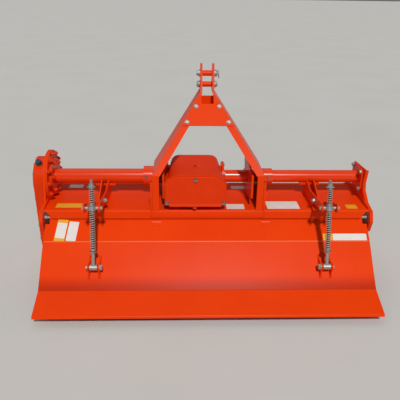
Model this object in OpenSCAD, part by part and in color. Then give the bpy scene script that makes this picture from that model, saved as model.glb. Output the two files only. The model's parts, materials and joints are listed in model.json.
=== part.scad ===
// Rotary tiller for a tractor's three-point hitch. Seen from behind, +X is right, +Y is towards the tractor
// and +Z is up. Lengths in millimetres. It stands on its side skids, the tines just clear of the ground.

/* [Overall] */
// Width of the tail board
board_w = 1880; // [1600:10:2200]
// Gap between the board and each side plate
plate_gap = 6; // [5:0.5:10]
// Thickness of the side plates
plate_t = 10; // [6:1:14]
// Height of the deck's top face
deck_z = 467; // [455:1:500]
// Thickness of the folded sheets
sheet_t = 5; // [3:0.5:7]

/* [Rotor] */
// Radius swept by the tine tips
rotor_r = 205; // [180:1:215]
// Clearance of the tips over the ground
tip_gap = 10; // [6:1:20]
// Radius of the rotor tube
rotor_tube_r = 44; // [36:1:56]
// Radius of the tine flanges
flange_r = 92; // [80:1:110]
// Number of tine flanges
flange_n = 8; // [6:1:9]
// Width of a tine's wing along the rotor
wing_w = 60; // [40:1:70]
// Thickness of a tine
tine_t = 8; // [6:1:10]
// Radius of the rotor's stub shafts
stub_r = 25; // [20:1:32]

/* [Tube and gear train] */
// Height of the main tube above the deck
tube_up = 118; // [112:1:150]
// Radius of the left main tube
tube_l_r = 44.5; // [38:0.5:52]
// Radius of the right main tube
tube_r_r = 38; // [34:0.5:48]
// Thickness of the side gear case
case_t = 71; // [56:1:84]
// Radius of the gear case's upper end
case_top_r = 130; // [115:1:145]
// Radius of the gear case's lower end
case_low_r = 108; // [90:1:120]
// Radius of the bolted flange on the gear case's inner side
case_flange_r = 158; // [145:1:170]

/* [Gearbox] */
// Width of the gearbox at its rear cover
box_w = 354; // [320:1:380]
// Height of the gearbox at its rear cover
box_h = 186; // [170:1:200]
// Centre of the gearbox from the hitch centre
box_x = -73; // [-90:1:-60]
// Radius of the input shaft
input_r = 17.5; // [15:0.5:22]

/* [Hitch frame] */
// Outer half width of the hitch frame's posts
post_x = 318.5; // [300:0.5:340]
// Width of the rear flange on the posts
post_flange = 38; // [30:1:46]
// Thickness of the hitch frame plates
web_t = 12; // [10:1:14]
// Height of the posts above the deck
post_h = 209; // [195:1:230]
// Height of the sloping arms
arm_h = 404; // [380:2:430]
// Forward lean of the sloping arms
arm_lean = 320; // [290:2:350]
// Gap between the top-link ears
ear_gap = 59; // [52:1:70]
// Height of the top-link ears
ear_h = 158; // [140:1:180]
// Radius of the lower hitch pins
low_pin_r = 14.2; // [11:0.1:18]

/* [Tail board] */
// Slope length of the board's long panel
panel_l = 280; // [260:1:300]
// Radius of the board's hinge barrel
barrel_r = 13; // [10:0.5:16]
// Spread of the two spring rods
rod_span = 1297; // [1240:1:1360]
// Radius of a spring rod
rod_r = 7; // [5:0.5:8]
// Length of a spring rod above its eye
rod_len = 487; // [470:1:520]
// Outer radius of a spring
spring_r = 18; // [16:0.5:20]
// Radius of a clevis pin
pin_r = 8; // [6:0.5:10]

/* [Hidden] */
$fn = 48;
// Seat left between curved faces of neighbouring pieces
seat = 0.3;
// Radial clearance of a running pin, and gap between flat faces that touch
run = 0.05;
// Small overlap of shapes that are fused, and gap of plates that stand side by side
lap = 0.5;
// Inside radius of the sheets' bends, and steps of a bend
bend_r = 10;
bend_n = 4;
// Side plates, and the head of a bolt outside them
head_t = 8;
x_in = board_w / 2 + plate_gap;
x_out = x_in + plate_t;
case_out = x_out + case_t;
skid_t = 12;
// Rotor axis and tube axis in Y and Z
rot_y = 40;
rot_z = rotor_r + tip_gap;
tube_y = 50;
tube_z = deck_z + tube_up;
case_top = [tube_y - 3, tube_z - 10];
// Tail board's hinge and folds in Y and Z
hinge = [-180, deck_z - 55];
board_mid = hinge + [-117, -99];
panel_dir = [-194, -202] / norm([-194, -202]);
panel_out = [panel_dir[1], -panel_dir[0]];
board_low = board_mid + panel_dir * panel_l;
board_end = board_low + [-159, -56];
hem = [-2, -12];
y_rear = board_end[0] + hem[0] - sheet_t / 2;
// Spring rods: foot of the ears on the panel, eye and trunnion
eye_up = 45;
eye_share = 0.57;
eye_foot = board_mid + panel_dir * eye_share * panel_l;
eye = eye_foot + panel_out * eye_up;
trunnion = hinge + [-175, 138];
rod_vec = trunnion - eye;
rod_a = atan2(rod_vec[0], rod_vec[1]);
rod_l0 = norm(rod_vec);
rod_mid = 11.5;
rod_x_r = rod_mid + rod_span / 2;
rod_x_l = rod_mid - rod_span / 2;
// Room for the rod's sideways drift in its collar
drift = 4.2;
collar_r = 22;
collar_h = 26;
stop_z = 88;
stop_t = 5;
nut_z = rod_len - 41;
// Gearbox
box_up = 31;
box_z = deck_z + box_up;
box_back = -206;
box_front = 235;
input_z = box_z + 80;
input_l = 185;
y_front = box_front + input_l;
// Hitch frame in Y and Z
post_y = -200;
kink_z = deck_z + post_h;
top_z = kink_z + arm_h;
ear_out = ear_gap / 2 + web_t;
arm_in = post_x - ear_out;
tilt_a = atan2(arm_in, arm_h);
lean_a = atan2(arm_h, arm_lean);
lean_l = norm([arm_h, arm_lean]);
ear_y = post_y + arm_lean + 85;
ear_low = 38;
ear_high = 103;
bolt_r = 12;
top_pin_r = 12.75;
low_pin = [225, tube_z - 55];
low_front = low_pin[0] + 33;
low_x = box_w / 2 - box_x + lap;
// Middle of the whole machine, which is the part's origin
x_mid = (x_out + head_t - case_out) / 2;
y_mid = (y_rear + y_front) / 2;
// Colours
red = [0.85, 0.22, 0.06];
zinc = [0.75, 0.75, 0.73];
dark = [0.12, 0.12, 0.13];
steel = [0.55, 0.55, 0.56];

// Moves a piece from the machine's own axes to the part's origin
module place() {
  translate([-x_mid, -y_mid, 0]) children();
}

// Turns a flat shape drawn in Y and Z to stand across X, starting at x
module across(x, t) {
  translate([x, 0, 0]) rotate([90, 0, 90]) linear_extrude(t) children();
}

// Stands a shape drawn in X and Z along Y from y over length l
module along(y, l) {
  translate([0, y + l, 0]) rotate([90, 0, 0]) linear_extrude(l) children();
}

// Side of a folded sheet at distance d from point i of its middle line
function unit(v) = v / norm(v);
function side(v) = [-v[1], v[0]];
function lead(pts, i) = unit(pts[max(i, 1)] - pts[max(i, 1) - 1]);
function trail(pts, i) = unit(pts[min(i, len(pts) - 2) + 1] - pts[min(i, len(pts) - 2)]);
function edge(pts, i, d) =
  let (a = side(lead(pts, i)), m = unit(a + side(trail(pts, i)))) pts[i] + m * d / (m * a);

// Point at share u of the curve that rounds corner p between directions a and b, t to each side
function curve(p, a, b, t, u) = p - (1 - u) * (1 - u) * a * t + u * u * b * t;

// Middle line with its inner corners rounded at radius r
function rounded(pts, r) = [pts[0],
  for (i = [1 : len(pts) - 2]) let (a = lead(pts, i), b = trail(pts, i), t = r * tan(acos(a * b) / 2))
    for (k = [0 : bend_n]) curve(pts[i], a, b, t, k / bend_n),
  pts[len(pts) - 1]];

// Folded sheet of thickness t about its middle line
module fold2d(pts, t) {
  n = len(pts) - 1;
  polygon(concat([for (i = [0 : n]) edge(pts, i, t / 2)], [for (i = [n : -1 : 0]) edge(pts, i, -t / 2)]));
}

// Two circles joined by their outer tangents
module link2d(a, ra, b, rb) {
  d = b - a;
  base = atan2(d[1], d[0]);
  s = acos((ra - rb) / norm(d));
  translate(a) circle(ra);
  translate(b) circle(rb);
  polygon([for (k = [[a, ra, s], [a, ra, -s], [b, rb, -s], [b, rb, s]])
    k[0] + (k[1] - seat) * [cos(base + k[2]), sin(base + k[2])]]);
}

// Arch of width w and height h standing on the X axis, with round corners of half axes c
function arc(at, c, from) = [for (k = [0 : 15 : 90]) at + [c[0] * cos(from + k), c[1] * sin(from + k)]];
function arch(w, h, c) = concat([[-w / 2, 0], [w / 2, 0]], arc([w / 2 - c[0], h - c[1]], c, 0),
  arc([c[0] - w / 2, h - c[1]], c, 90));

// Cylinder along X from x over length l
module rod_x(x, y, z, r, l) {
  translate([x, y, z]) rotate([0, 90, 0]) cylinder(r = r, h = l);
}

// Ring along X
module ring_x(x, y, z, r, ri, l) {
  translate([x, y, z]) rotate([0, 90, 0]) linear_extrude(l) difference() {
    circle(r);
    circle(ri);
  }
}

// Bolt heads of radius r along X, on a circle of radius c about the tube axis
module bolts_x(x, angles, c, r, l) {
  for (a = angles) rod_x(x, tube_y + c * cos(a), tube_z + c * sin(a), r, l);
}

// Hood: middle line of its sheet in Y and Z, with lip, deck and front slope, and a flange at each end
lip_y = post_y - sheet_t / 2 + lap;
lip_low = hinge[1] + 4;
deck_front = tube_y + 190;
hood_pts = [[lip_y, lip_low], [lip_y, deck_z - sheet_t / 2], [deck_front, deck_z - sheet_t / 2],
  [deck_front + 65, deck_z - 60], [deck_front + 110, deck_z - 160]];
hood_end = [[post_y + 4, deck_z - lap], [post_y + 4, deck_z + 12], [tube_y - 142, deck_z + 26],
  [tube_y - 132, deck_z - lap]];

// Notch at each end of the lip that bares the pivot bolt: its widths above and below, and the strip over it
notch_w = [16, 46];
notch_down = 9;
notch_pts = [[x_in - notch_w[0], deck_z - notch_down], [x_in + lap, deck_z - notch_down],
  [x_in + lap, lip_low - lap], [x_in - notch_w[1], lip_low - lap]];

module hood() color(red) {
  difference() {
    across(-x_in, 2 * x_in) fold2d(rounded(hood_pts, bend_r), sheet_t);
    for (m = [0, 1])
      mirror([m, 0, 0]) along(lip_y - sheet_t, 2 * sheet_t) polygon(notch_pts);
  }
  for (x = [-x_in, x_in - sheet_t]) across(x, sheet_t) polygon(hood_end);
}

// Side plate outline in Y and Z, its rear edge and the rim along that edge
plate_rear = [[-65, tube_z + 78], [-50, tube_z - 5], [-62, tube_z - 50], [-134, deck_z + 16],
  [-222, deck_z - 4], [-245, deck_z - 57], [-222, deck_z - 126]];
plate_rear_left = concat([[-78, tube_z + 78], [-108, tube_z + 10], [-116, tube_z - 45]],
  [for (i = [3 : len(plate_rear) - 1]) plate_rear[i]]);
plate_rest = [[-150, 30], [-130, skid_t], [190, skid_t], [250, 100],
  [deck_front + 120, deck_z - 150], [deck_front + 75, deck_z - 46], [deck_front + 6, deck_z + 18],
  [tube_y + 100, deck_z + 24], [tube_y + 97, tube_z + 66]];
rim_t = 6;
rim_in = [rim_t / 2 - lap, 0];

module side_plate(rear, first) {
  across(x_in, plate_t) difference() {
    polygon(concat(rear, plate_rest));
    translate(hinge) circle(pin_r + run);
  }
  across(x_out - lap, head_t + lap)
    fold2d([for (i = [first : len(rear) - 1]) rear[i] + rim_in], rim_t);
}

module plate_right() color(red) side_plate(plate_rear, 0);

module plate_left() color(red) mirror([1, 0, 0]) side_plate(plate_rear_left, 3);

// Skid runner under a side plate
skid_w = 40;

module skid() {
  across(x_out - skid_w, skid_w)
    fold2d([[-190, skid_t * 1.5], [-150, skid_t / 2], [200, skid_t / 2], [270, 50]], skid_t);
}

module skid_right() color(dark) skid();

module skid_left() color(dark) mirror([1, 0, 0]) skid();

// Gear case outside the left plate, from the tube down to the rotor, with a raised cover
lid_t = 6;
lid_in = 14;

module gear_case() color(red) {
  across(-case_out + lid_t, case_t - lid_t) link2d(case_top, case_top_r, [rot_y, rot_z], case_low_r);
  across(-case_out, lid_t + lap)
    link2d(case_top, case_top_r - lid_in, [rot_y, rot_z], case_low_r - lid_in);
}

// Bolted flanges of the left tube, the large one flat where it stands on the deck
ring_t = 14;
neck_r = 112;
neck_t = 16;

module case_flange() color(red) {
  difference() {
    ring_x(-x_in, tube_y, tube_z, case_flange_r, tube_l_r + seat, ring_t);
    translate([-x_in - lap, tube_y - case_flange_r, deck_z - case_flange_r + run])
      cube([ring_t + 2 * lap, 2 * case_flange_r, case_flange_r]);
  }
  ring_x(-x_in + ring_t - lap, tube_y, tube_z, neck_r, tube_l_r + seat, neck_t);
  bolts_x(-x_in + ring_t - lap, [-30 : 30 : 210], case_flange_r - 18, 10, 12);
  bolts_x(-x_in + ring_t + neck_t - 2 * lap, [45 : 60 : 345], neck_r - 20, 9, 10);
}

module tube_left() color(red) {
  rod_x(-x_in, tube_y, tube_z, tube_l_r, x_in + box_x - box_w / 2);
}

module tube_right() color(red) {
  x0 = box_x + box_w / 2;
  rod_x(x0, tube_y, tube_z, tube_r_r, x_in - x0);
}

// Bolted flange of the right tube with cut corners, and its bolts
end_half = [84, 68];
end_cut = 18;
end_bolt = end_half - [14, 14];
end_t = 12;
end_pts = [[end_half[0] - end_cut, end_half[1]], [end_half[0], end_half[1] - end_cut]];

module end_flange() color(red) {
  across(x_in - end_t, end_t) translate([tube_y, tube_z]) difference() {
    polygon([
      end_pts[0], end_pts[1],
      [end_pts[1][0], -end_pts[1][1]], [end_pts[0][0], -end_pts[0][1]],
      -end_pts[0], -end_pts[1],
      [-end_pts[1][0], end_pts[1][1]], [-end_pts[0][0], end_pts[0][1]]]);
    circle(tube_r_r + seat);
  }
  for (y = [-1, 1], z = [-1, 1])
    rod_x(x_in - end_t - 9, tube_y + y * end_bolt[0], tube_z + z * end_bolt[1], 8, 9 + lap);
}

// Gearbox casting: rear rim, body that narrows to the front, nose, bearing hubs, plug's boss and feet
rim_c = [91, 58];
body_c = [52, 44];
body_in = 6;
body_w = 290;
body_h = 202;
body_y = tube_y + 50;
wall_y = 14;
nose_r = 75;
neck_out = 30;
neck_rad = 52;
hub_l = 70;
hub_r = [68, 64];
cap_t = 14;
cap_r = [98, 90];
boss_y = -75;
boss_r = 13;
boss_up = 3;
boss_share = (boss_y - box_back) / (body_y - box_back);
boss_z = box_z + box_h + (body_h - box_h) * boss_share + boss_up;
foot_x = 110;
foot_w = 44;
foot_l = 210;

// Slice of the casting of length l at y
module slice(y, l, w, h, c) {
  along(y, l) translate([box_x, box_z]) polygon(arch(w, h, c));
}

module along_y(y, z, r, l) {
  translate([box_x, y, z]) rotate([-90, 0, 0]) cylinder(r = r, h = l);
}

module gearbox() color(red) {
  x0 = box_x - box_w / 2;
  x1 = box_x + box_w / 2;
  difference() {
    union() {
      slice(box_back, wall_y, box_w, box_h, rim_c);
      hull() {
        slice(box_back + lap, wall_y, box_w - 2 * body_in, box_h - body_in, rim_c);
        slice(body_y, wall_y, body_w, body_h, body_c);
      }
      hull() {
        slice(body_y, wall_y, body_w, body_h, body_c);
        along_y(box_front - wall_y, input_z, nose_r, wall_y);
      }
      along_y(box_front - lap, input_z, neck_rad, neck_out + lap);
      rod_x(x0 + lap, tube_y, tube_z, hub_r[0], hub_l);
      rod_x(x0, tube_y, tube_z, cap_r[0], cap_t);
      rod_x(x1 - hub_l - lap, tube_y, tube_z, hub_r[1], hub_l);
      rod_x(x1 - cap_t, tube_y, tube_z, cap_r[1], cap_t);
      translate([box_x, boss_y, box_z + box_h / 2]) cylinder(r = boss_r, h = boss_z - box_z - box_h / 2);
      for (x = [-foot_x, foot_x])
        translate([box_x + x - foot_w / 2, box_back + 40, deck_z + run])
          cube([foot_w, foot_l, box_up + foot_w / 2]);
    }
    along_y(box_front - 40, input_z, input_r + run, 80);
  }
}

// Cover plate on the gearbox's rear face, with a ledge along its foot
cover_t = 12;
cover_in = 7;
ledge = [300, 16, 13];

module gearbox_cover() color(red) {
  along(box_back - cover_t, cover_t) translate([box_x, box_z + cover_in])
    polygon(arch(box_w - 2 * cover_in, box_h - 2 * cover_in, rim_c - [cover_in, cover_in]));
  translate([box_x - ledge[0] / 2, box_back - ledge[1], box_z - 2]) cube(ledge - [0, run, 0]);
}

cover_bolt = [[0, box_h - 24], [-box_w / 2 + 15, 21], [box_w / 2 - 15, 21]];

module cover_bolts() color(zinc) {
  for (p = cover_bolt)
    translate([box_x + p[0], box_back - cover_t, box_z + p[1]]) rotate([90, 0, 0]) cylinder(r = 9, h = 8);
}

// Bent side plate of the hitch frame: its fold seen from behind and its outline seen from the side
web_fold = [[post_x - web_t / 2, deck_z], [post_x - web_t / 2, kink_z], [ear_out - web_t / 2, top_z],
  [ear_out - web_t / 2, top_z + ear_h]];
web_side = [[post_y + lap, deck_z], [post_y + lap, kink_z], [post_y + arm_lean + lap, top_z],
  [ear_y - 35, top_z + ear_h - 45], [ear_y - 20, top_z + ear_h], [ear_y + 20, top_z + ear_h],
  [ear_y + 35, top_z + ear_h - 45], [post_y + arm_lean + 150, top_z], [tube_y + 20, kink_z + 8],
  [tube_y + 40, tube_z + 40], low_pin + [33, 22], low_pin + [33, -35], [tube_y + 150, deck_z]];

// Rear flange of the plate: its fold seen from the side and its outline seen from behind
flange_fold = [[post_y + web_t / 2, deck_z], [post_y + web_t / 2, kink_z],
  [post_y + arm_lean + web_t / 2, top_z]];
flange_back = [[post_x - lap, deck_z], [post_x - lap, kink_z], [ear_out - lap, top_z],
  [ear_out - web_t / 2, top_z], [ear_out - web_t / 2, top_z - 60], [post_x - post_flange, kink_z - 8],
  [post_x - post_flange, deck_z]];

module mast(r) {
  difference() {
    union() {
      intersection() {
        along(post_y, low_front - post_y + 200) fold2d(web_fold, web_t);
        across(0, post_x + 1) polygon(web_side);
      }
      intersection() {
        across(0, post_x) fold2d(flange_fold, web_t);
        along(post_y - 100, arm_lean + 300) polygon(flange_back);
      }
    }
    rod_x(post_x - 2 * web_t, low_pin[0], low_pin[1], low_pin_r + seat, 3 * web_t);
    rod_x(post_x - 2 * web_t, tube_y, tube_z, r + seat, 3 * web_t);
    rod_x(0, ear_y, top_z + ear_low, bolt_r + run, 2 * ear_out);
    rod_x(0, ear_y, top_z + ear_high, top_pin_r + run, 2 * ear_out);
  }
}

module mast_right() color(red) mast(tube_r_r);

module mast_left() color(red) mirror([1, 0, 0]) mast(tube_l_r);

// Plate bolted across the sloping arms, between two shares of their length
function arm_x(f) = post_x - arm_in * f;
cross_low = 0.592;
cross_top = 0.862;
cross_up = web_t / 2 * (1 - sin(lean_a)) + run;
cross_t = 6;
cross_in = 2;
cross_bolt = [cross_low + 0.041, cross_top - 0.037];

module on_arms() {
  translate([0, post_y, kink_z]) rotate([lean_a, 0, 0]) translate([0, 0, cross_up]) children();
}

module cross_plate() color(red) {
  on_arms() linear_extrude(cross_t) polygon([for (k = [[-1, cross_low], [1, cross_low], [1, cross_top],
    [-1, cross_top]]) [k[0] * (arm_x(k[1]) - cross_in), k[1] * lean_l]]);
}

module cross_bolts() color(zinc) {
  on_arms() for (s = [-1, 1], f = cross_bolt)
    translate([s * (arm_x(f) - 22), f * lean_l, cross_t]) cylinder(r = 11, h = 9);
}

// Plate between the arms at their front edge
tie_low = 0.7;
tie_top = 0.93;
tie_t = 8;

module front_tie() color(red) {
  g = web_t / 2 * (1 + 1 / cos(tilt_a)) + seat;
  along(post_y + arm_lean + 67, tie_t) polygon([for (k = [[-1, tie_low], [1, tie_low], [1, tie_top],
    [-1, tie_top]]) [k[0] * (arm_x(k[1]) - g), kink_z + k[1] * arm_h]]);
}

// Top-link pin and lower bolt through the ears, with their end collars
top_axes = [[top_z + ear_low, bolt_r], [top_z + ear_high, top_pin_r]];
pin_end = 22;
collar_end = 10;

module top_pins() color(zinc) {
  for (p = top_axes) {
    rod_x(-ear_out - pin_end, ear_y, p[0], p[1], 2 * (ear_out + pin_end));
    for (x = [ear_out, -ear_out - collar_end]) rod_x(x, ear_y, p[0], 20, collar_end);
  }
}

// Spacer tubes on both pins between the ears
module top_spacers() color(red) {
  for (p = top_axes) ring_x(-ear_gap / 2 + run, ear_y, p[0], p[1] + 4, p[1] + seat, ear_gap - 2 * run);
}

// Lower hitch pin through the post and its inner plate
pin_out = 95.5;

module low_hitch_pin() {
  rod_x(low_x - 4, low_pin[0], low_pin[1], low_pin_r, post_x + pin_out - low_x + 4);
  rod_x(post_x, low_pin[0], low_pin[1], low_pin_r + 8, 10);
}

module pin_right() color(steel) low_hitch_pin();

module pin_left() color(steel) mirror([1, 0, 0]) low_hitch_pin();

// Inner plate that carries the pin, on a tube of radius r
hitch_pts = [[tube_y - 20, deck_z + run], [tube_y + 150, deck_z + run], low_pin + [33, -35],
  low_pin + [33, 22], [tube_y + 132, tube_z + 7], [tube_y + 160, kink_z + 5], [tube_y + 20, kink_z + 16],
  [post_y + 30, kink_z - 10], [post_y + 30, deck_z + 60]];

module hitch_plate(r) {
  difference() {
    across(low_x, web_t) polygon(hitch_pts);
    rod_x(low_x - 1, tube_y, tube_z, r + seat, web_t + 2);
    rod_x(low_x - 1, low_pin[0], low_pin[1], low_pin_r + seat, web_t + 2);
  }
}

module hitch_right() color(red) hitch_plate(tube_r_r);

module hitch_left() color(red) mirror([1, 0, 0]) hitch_plate(tube_l_r);

// Collars of the main tube outside the posts
module saddle_left() color(red) ring_x(-post_x - 65, tube_y, tube_z, 61, tube_l_r + seat, 65);

module saddle_right() color(red) ring_x(post_x, tube_y, tube_z, 48, tube_r_r + seat, 84);

// Bracket on deck and tube: an arm that ends in the trunnion's fork, a gusset in line with the rod, a pad
fork_x = 37;
fork_t = 8;
fork_r = 25;
fork_back = 62;
fork_h = 36;
pad_half = 60;
pad_y = 30;
pad_t = 7;
arm_pts = [[tube_y + 28, deck_z + run], [tube_y + 28, tube_z], [tube_y - 60, tube_z - 18],
  [tube_y - 150, tube_z - 38], trunnion + [0, fork_r], trunnion - [0, fork_r],
  [tube_y - 236, deck_z + 42], [tube_y - 200, deck_z + run]];
gusset_pts = [[tube_y + 28, deck_z + run], [tube_y + 28, tube_z], [tube_y - 80, tube_z - 15],
  [tube_y - 120, tube_z - 35], [tube_y - 190, tube_z - 65], [tube_y - 235, deck_z + run]];

// Bracket of the rod at x, with its arm on the inner side, on a tube of radius r
module bracket(x, s, r) {
  arm_at = s > 0 ? x - fork_x - fork_t : x + fork_x;
  far_at = s > 0 ? x + fork_x : x - fork_x - fork_t;
  gusset_at = s > 0 ? x - fork_t : x;
  difference() {
    union() {
      across(arm_at, fork_t) {
        polygon(arm_pts);
        translate(trunnion) circle(fork_r);
      }
      across(gusset_at, fork_t) polygon(gusset_pts);
      translate([x - s * 22 - pad_half, tube_y - pad_y, tube_z - r - pad_t])
        cube([2 * pad_half, 2 * pad_y - 2 * lap, 2 * pad_t]);
    }
    rod_x(x - 200, tube_y, tube_z, r + seat, 400);
    rod_x(arm_at - 1, trunnion[0], trunnion[1], pin_r + 1 + run, fork_t + 2);
  }
  difference() {
    across(far_at, fork_t) {
      translate(trunnion - [0, fork_r]) square([fork_back, fork_h]);
      translate(trunnion) circle(fork_r);
    }
    rod_x(far_at - 1, trunnion[0], trunnion[1], pin_r + 1 + run, fork_t + 2);
  }
  translate([x - fork_x - 1, trunnion[0] + fork_back - fork_t, trunnion[1] - fork_r])
    cube([2 * fork_x + 2, fork_t, fork_h]);
}

module bracket_left() color(red) bracket(rod_x_l, -1, tube_l_r);

module bracket_right() color(red) bracket(rod_x_r, 1, tube_r_r);

// Bearing hub of the rotor inside a side plate
bearing_r = 62;
bearing_l = 46;

module bearing() {
  difference() {
    rod_x(x_in - bearing_l, rot_y, rot_z, bearing_r, bearing_l);
    rod_x(x_in - bearing_l - 1, rot_y, rot_z, stub_r + run, bearing_l - 4);
  }
}

module bearing_right() color(red) bearing();

module bearing_left() color(red) mirror([1, 0, 0]) bearing();

// Filler plug of the gear case, breather on the gearbox and drain plug under it
plug_r = 15;
plug_a = 31;
breather_r = 8;

module plugs() color(dark) {
  difference() {
    translate([-case_out + case_t / 2, case_top[0], case_top[1]]) rotate([plug_a, 0, 0]) {
      translate([0, 0, case_top_r - 8]) cylinder(r = plug_r, h = 34);
      translate([0, 0, case_top_r - 8]) cylinder(r = plug_r + 5, h = 16);
    }
    rod_x(-case_out, case_top[0], case_top[1], case_top_r + seat, case_t);
  }
  translate([box_x, boss_y, boss_z + run]) cylinder(r = breather_r, h = 4);
  translate([box_x - 27, box_back + plug_r, box_z - 14]) cylinder(r = plug_r - 4, h = 14 - run);
}

// Pivot bolts of the tail board, with a nut inside each side plate
nut_t = 12;
corner_w = 24;
pivot_l = 70;

module hinge_bolts() color(zinc) {
  for (s = [0, 1]) mirror([s, 0, 0]) {
    rod_x(x_in - pivot_l, hinge[0], hinge[1], pin_r, pivot_l + plate_t + head_t);
    rod_x(x_out + run, hinge[0], hinge[1], pin_r + 6, head_t - run);
    rod_x(x_in - nut_t - run, hinge[0], hinge[1], pin_r + 5, nut_t);
  }
}

// Rotor tube with its tine flanges and stub shafts
flange_t = 10;
flange_in = 176;
flange_gap = 2 * (x_in - flange_in) / (flange_n - 1);
tube_in = bearing_l + 10;
stub_in = 6;

function flange_x(i) = -x_in + flange_in + i * flange_gap;

module rotor_tube() color(dark) {
  rod_x(-x_in + tube_in, rot_y, rot_z, rotor_tube_r, 2 * (x_in - tube_in));
  rod_x(-x_in + stub_in, rot_y, rot_z, stub_r, 2 * (x_in - stub_in));
  for (i = [0 : flange_n - 1])
    rod_x(flange_x(i) - flange_t / 2, rot_y, rot_z, flange_r, flange_t);
}

// One winged tine on side s of its flange: a swept shank and a curved wing at its tip
shank_in = 55;
shank_mid = 120;
wing_from = 178;
wing_a = 24;

module tine(s) {
  x0 = s > 0 ? flange_t / 2 : -flange_t / 2 - tine_t;
  across(x0, tine_t) polygon([[-22, shank_in], [22, shank_in], [26, shank_mid], [44, rotor_r - 18],
    [-8, rotor_r - 6], [-18, shank_mid]]);
  x1 = s > 0 ? x0 : x0 - wing_w + tine_t;
  translate([x1, 0, 0]) rotate([0, 90, 0]) rotate([0, 0, wing_from]) rotate_extrude(angle = wing_a)
    translate([rotor_r - tine_t, 0]) square([tine_t, wing_w]);
}

// Six tines a flange, in turn on either side, with each flange set round from the last
tine_n = 6;
set_round = 22;

module tines() color(dark) {
  translate([0, rot_y, rot_z]) for (i = [0 : flange_n - 1], k = [0 : tine_n - 1]) {
    outer = (i == 0 && k % 2 == 1) || (i == flange_n - 1 && k % 2 == 0);
    if (!outer)
      translate([flange_x(i), 0, 0]) rotate([360 / tine_n * k + set_round * i, 0, 0])
        tine(k % 2 == 0 ? 1 : -1);
  }
}

// Splined input shaft
spline_at = 130;
spline_core = input_r - 2.2;

module input_shaft() color(steel) {
  l = y_front - box_front + 38;
  translate([box_x, box_front - 38, input_z]) rotate([-90, 0, 0]) {
    cylinder(r = input_r, h = spline_at);
    translate([0, 0, spline_at / 2]) cylinder(r = spline_core, h = l - spline_at / 2);
    for (a = [0 : 60 : 300])
      rotate([0, 0, a]) translate([spline_core - 2, -4, spline_at - lap])
        cube([input_r - spline_core + 1.6, 8, l - spline_at + lap]);
  }
}

// Tail board folded across its width, with hinge barrel, corners cut for the nuts, and two hinge leaves
board_pts = rounded([hinge, board_mid, board_low, board_end, board_end + hem], bend_r);
top_dir = unit(board_mid - hinge);
top_out = [top_dir[1], -top_dir[0]];
leaf_x = [-300, 338];
leaf_w = 48;
leaf_t = 6;
leaf_at = [36, 58];

module board() color(red) {
  cut = barrel_r + 22;
  difference() {
    union() {
      across(-board_w / 2, board_w) {
        fold2d(board_pts, sheet_t);
        translate(hinge) circle(barrel_r);
      }
      for (x = leaf_x) across(x - leaf_w / 2, leaf_w)
        fold2d([for (d = leaf_at) hinge + top_dir * d + top_out * (sheet_t + leaf_t) / 2], leaf_t + lap);
    }
    for (s = [0, 1]) mirror([s, 0, 0]) {
      rod_x(x_in - pivot_l - 10, hinge[0], hinge[1], pin_r + run, pivot_l + 10);
      translate([board_w / 2 - corner_w, hinge[0] - cut, hinge[1] - cut])
        cube([corner_w + 1, 2 * cut, 2 * cut]);
    }
  }
}

// Pair of ears with the pin that holds a rod's eye
ear_x = 25;
ear_t = 8;
ear_r = 20;
foot_up = 78;
foot_down = 58;
pin_over = 18;

module clevis(x, s) {
  foot = eye_foot + panel_out * (sheet_t / 2 + run);
  for (k = [-1, 1])
    across(x + k * ear_x - (k > 0 ? 0 : ear_t), ear_t) {
      polygon([foot - foot_up * panel_dir, foot + foot_down * panel_dir, eye + (ear_r - 1) * panel_dir,
        eye - (ear_r - 1) * panel_dir]);
      translate(eye) circle(ear_r);
    }
  rod_x(x - ear_x - pin_over, eye[0], eye[1], pin_r, 2 * (ear_x + pin_over));
  rod_x(x - s * (ear_x + ear_t) - (s > 0 ? nut_t : 0), eye[0], eye[1], pin_r + 6, nut_t);
}

module clevis_left() color(red) clevis(rod_x_l, -1);

module clevis_right() color(red) clevis(rod_x_r, 1);

// Stands a shape on a rod's axis at x, Z along the rod from its eye
module on_rod(x) {
  translate([x, eye[0], eye[1]]) rotate([-rod_a, 0, 0]) children();
}

// Spring rod with its eye, thick foot, stop ring, washer and top nut
eye_half = 21;
eye_r = 17;
foot_r = 10;
stop_r = spring_r + 4;

module spring_rod(x) {
  difference() {
    on_rod(x) {
      cylinder(r = rod_r, h = rod_len);
      cylinder(r = foot_r, h = stop_z + lap);
      translate([0, 0, stop_z]) cylinder(r = stop_r, h = stop_t);
      translate([0, 0, nut_z]) cylinder(r = spring_r + 1, h = 6);
      translate([0, 0, nut_z + 6 - lap]) cylinder(r = spring_r - 5, h = 14);
      rod_x(-eye_half, 0, 0, eye_r, 2 * eye_half);
    }
    rod_x(x - 2 * eye_half, eye[0], eye[1], pin_r + run, 4 * eye_half);
  }
}

module rod_left() color(zinc) spring_rod(rod_x_l);

module rod_right() color(zinc) spring_rod(rod_x_r);

// Coiled spring as a ribbed sleeve from z0 to z1 on the rod
wire_r = 2.5;
coil_pitch = 10;

module coil(x, z0, z1) {
  n = floor((z1 - z0) / coil_pitch);
  p = (z1 - z0) / n;
  on_rod(x) {
    translate([0, 0, z0]) linear_extrude(z1 - z0) difference() {
      circle(spring_r - 4);
      circle(spring_r - 6.5);
    }
    for (i = [0 : n - 1])
      translate([0, 0, z0 + (i + 0.5) * p]) rotate_extrude()
        translate([spring_r - wire_r, 0]) circle(wire_r, $fn = 24);
  }
}

low_coil = [stop_z + stop_t + run, rod_l0 - collar_h / 2 - 1];
top_coil = [rod_l0 + collar_h / 2, nut_z - 1];

module spring_left() color(zinc) coil(rod_x_l, low_coil[0], low_coil[1]);

module spring_right() color(zinc) coil(rod_x_r, low_coil[0], low_coil[1]);

module spring_top_left() color(zinc) coil(rod_x_l, top_coil[0], top_coil[1]);

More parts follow.
